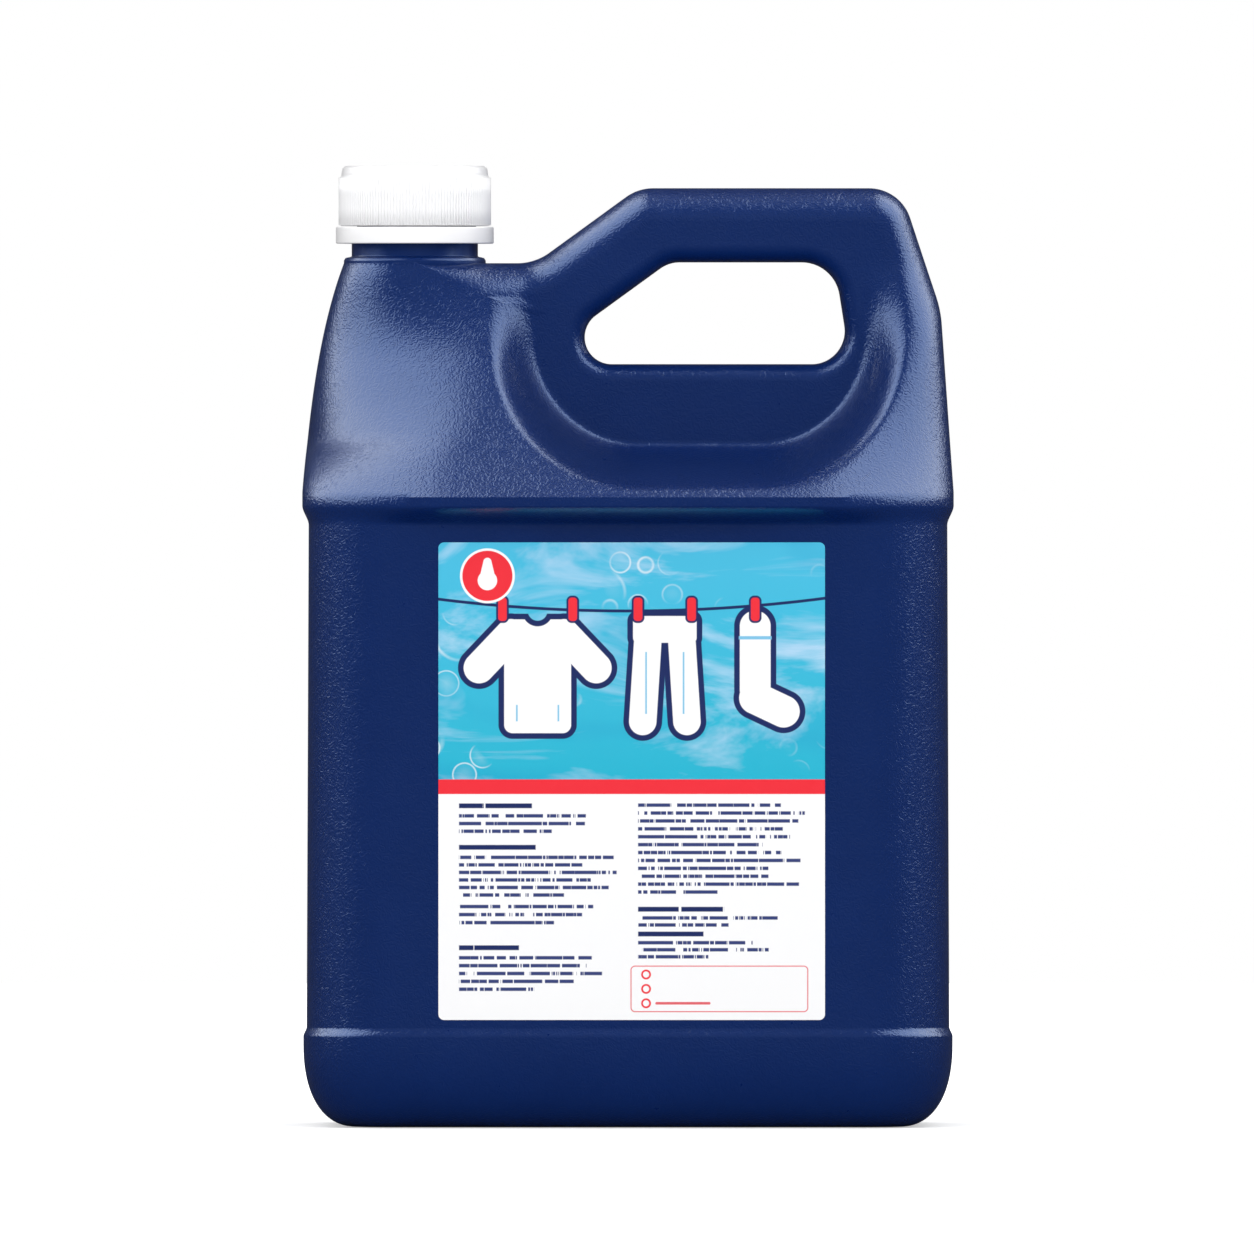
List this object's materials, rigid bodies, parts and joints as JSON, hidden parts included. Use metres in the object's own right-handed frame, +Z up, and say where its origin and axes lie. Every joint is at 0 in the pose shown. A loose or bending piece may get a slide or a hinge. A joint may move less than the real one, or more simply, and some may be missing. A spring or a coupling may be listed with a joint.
{
  "type": "laundry detergent bottle",
  "caption": "Tall rectangular blow-moulded plastic jug with a through-hole handle at one top corner, a ribbed screw cap at the other and a front label.",
  "frame": {"origin": "centre of the base, on the surface that the jug stands on", "axes": "+Z up, -Y out of the labelled front, +X towards the handle, so the neck is on the -X side"},
  "size_m": [0.195, 0.146, 0.2878],
  "materials": {
    "blown_body": "navy polyethylene with a fine grain, satin",
    "cap_white": "white polypropylene, semi-gloss",
    "wad_foam": "white closed-cell foam",
    "label_film": "printed film with a satin varnish"
  },
  "bodies": {
    "jug": {"bottle": "blown_body", "tamper_ring": "cap_white", "front_label": "label_film"},
    "wad": {"cap_liner": "wad_foam"},
    "closure": {"cap": "cap_white"}
  },
  "joints": [
    {"name": "cap_rise", "type": "slide", "parent": "jug", "child": "wad", "axis": [0, 0, 1], "range_m": [0, 0.0084]},
    {"name": "cap_turn", "type": "hinge", "parent": "wad", "child": "closure", "pos_m": [-0.064, 0, 0.27], "axis": [0, 0, 1], "range_deg": [0, 720]}
  ],
  "couplings": [
    {"joint": "cap_turn", "follows": "cap_rise", "rad_per_m": 1484.2}
  ]
}
